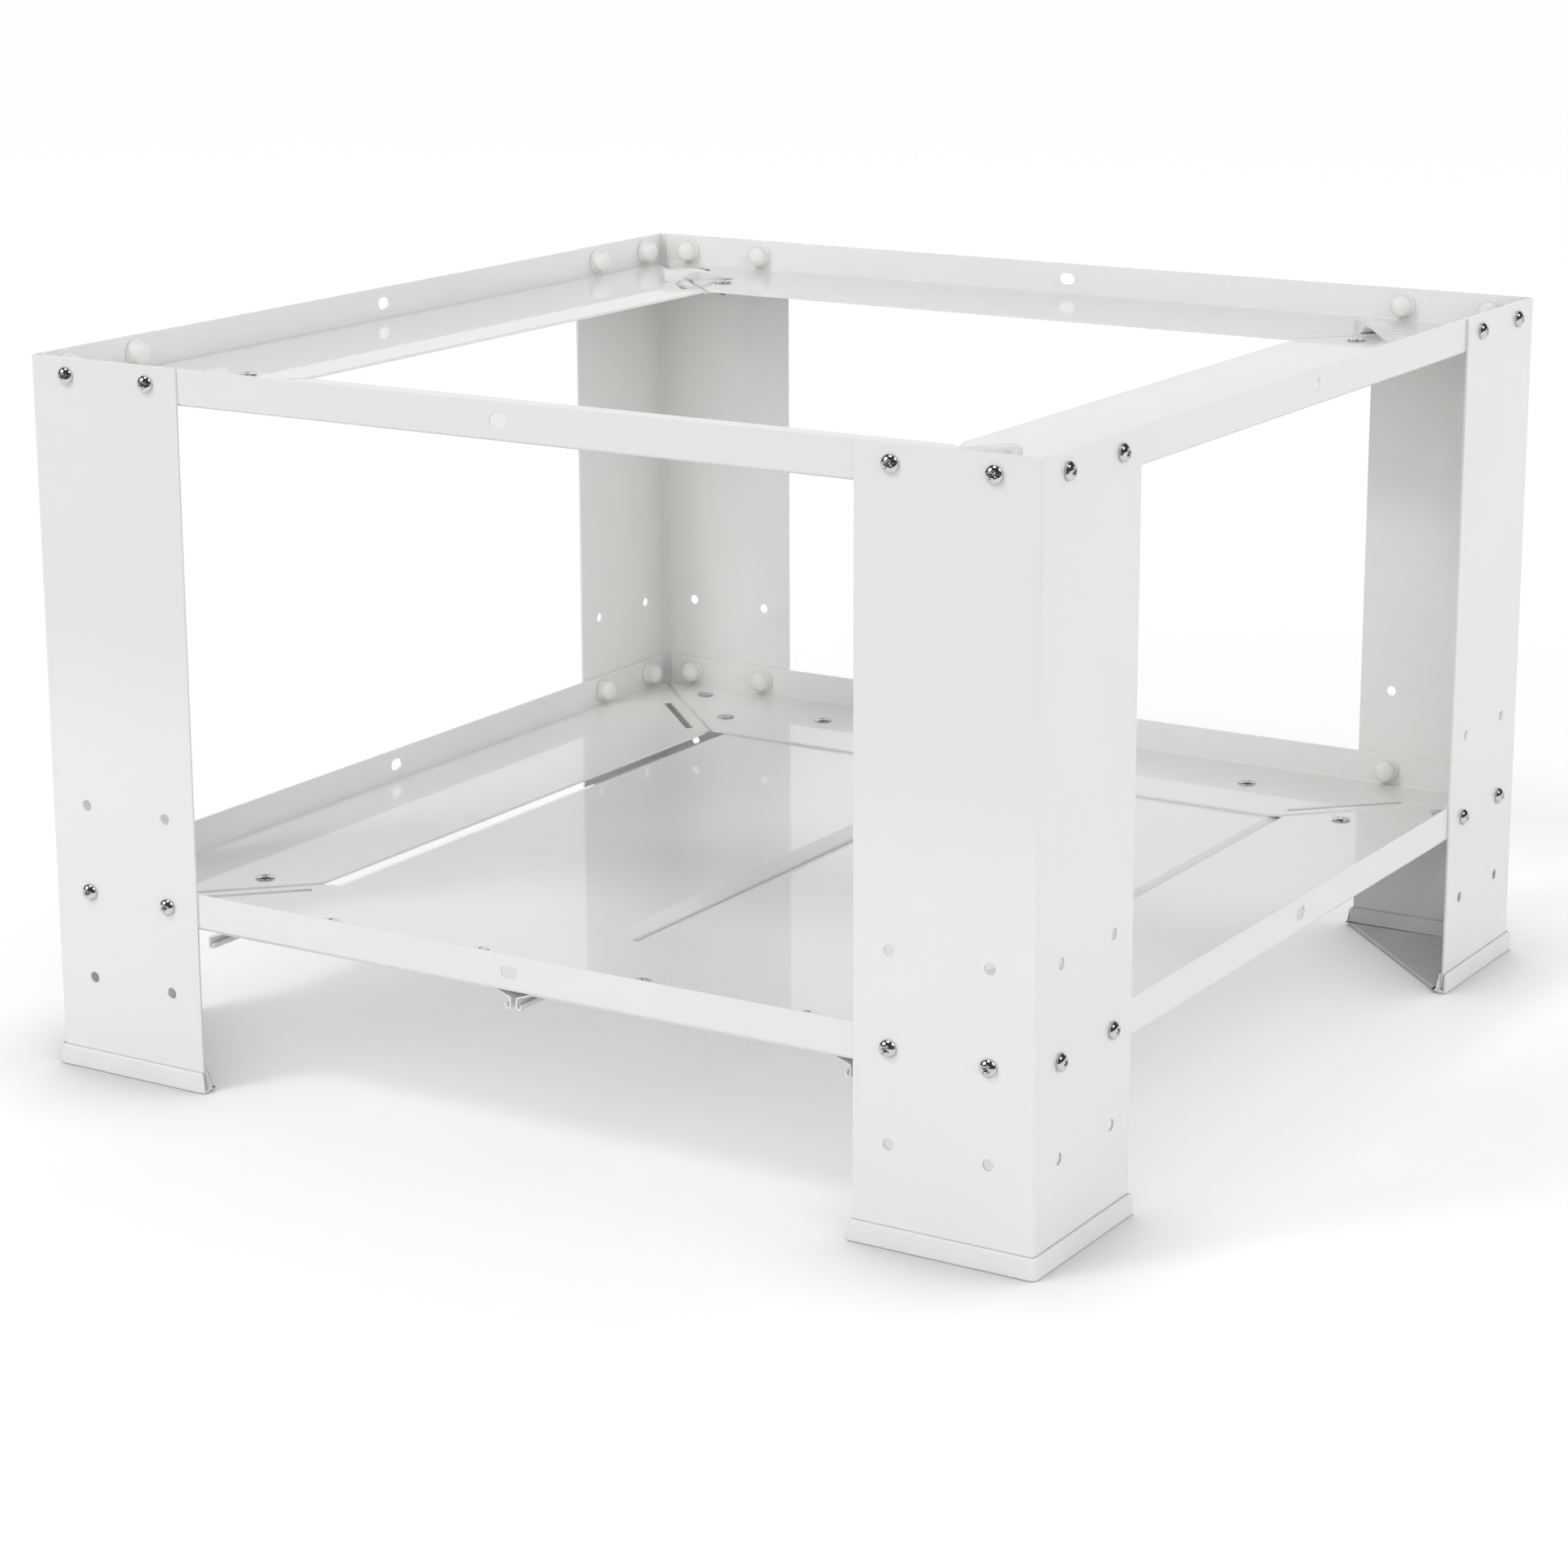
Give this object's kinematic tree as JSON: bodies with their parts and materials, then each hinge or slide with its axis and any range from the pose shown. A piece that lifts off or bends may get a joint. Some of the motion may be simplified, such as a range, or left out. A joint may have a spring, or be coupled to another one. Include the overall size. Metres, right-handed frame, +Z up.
{
  "type": "washing machine stand",
  "caption": "Square raised stand that carries a washing machine on a rimmed angle frame, with folded sheet legs, plastic feet and a storage shelf below.",
  "frame": {"origin": "on the floor, at the middle of the stand", "axes": "+Z up from the floor, +X to the right along the front, +Y from the front to the back"},
  "size_m": [0.6166, 0.6166, 0.3975],
  "materials": {
    "white_paint": "glossy white powder coat on folded sheet steel",
    "white_plastic": "moulded white plastic, semi-gloss",
    "zinc": "bright zinc plate"
  },
  "bodies": {
    "root": {"leg_front_left": "white_paint", "leg_front_right": "white_paint", "leg_rear_right": "white_paint", "leg_rear_left": "white_paint", "foot_front_left": "white_plastic", "foot_front_right": "white_plastic", "foot_rear_right": "white_plastic", "foot_rear_left": "white_plastic", "upper_rail_front": "white_paint", "upper_rail_right": "white_paint", "upper_rail_rear": "white_paint", "upper_rail_left": "white_paint", "lower_rail_front": "white_paint", "lower_rail_right": "white_paint", "lower_rail_rear": "white_paint", "lower_rail_left": "white_paint", "shelf_panel_left": "white_paint", "shelf_panel_right": "white_paint", "clip_front_left": "white_plastic", "clip_front_right": "white_plastic", "clip_rear_right": "white_plastic", "clip_rear_left": "white_plastic", "upper_leg_bolts": "zinc", "lower_leg_bolts": "zinc", "upper_leg_nuts": "zinc", "lower_leg_nuts": "zinc", "upper_nut_caps": "white_plastic", "lower_nut_caps": "white_plastic", "upper_corner_bolts": "zinc", "lower_corner_bolts": "zinc", "upper_corner_nuts": "zinc", "lower_corner_nuts": "zinc", "shelf_bolts": "zinc", "shelf_nuts": "zinc"}
  },
  "joints": []
}
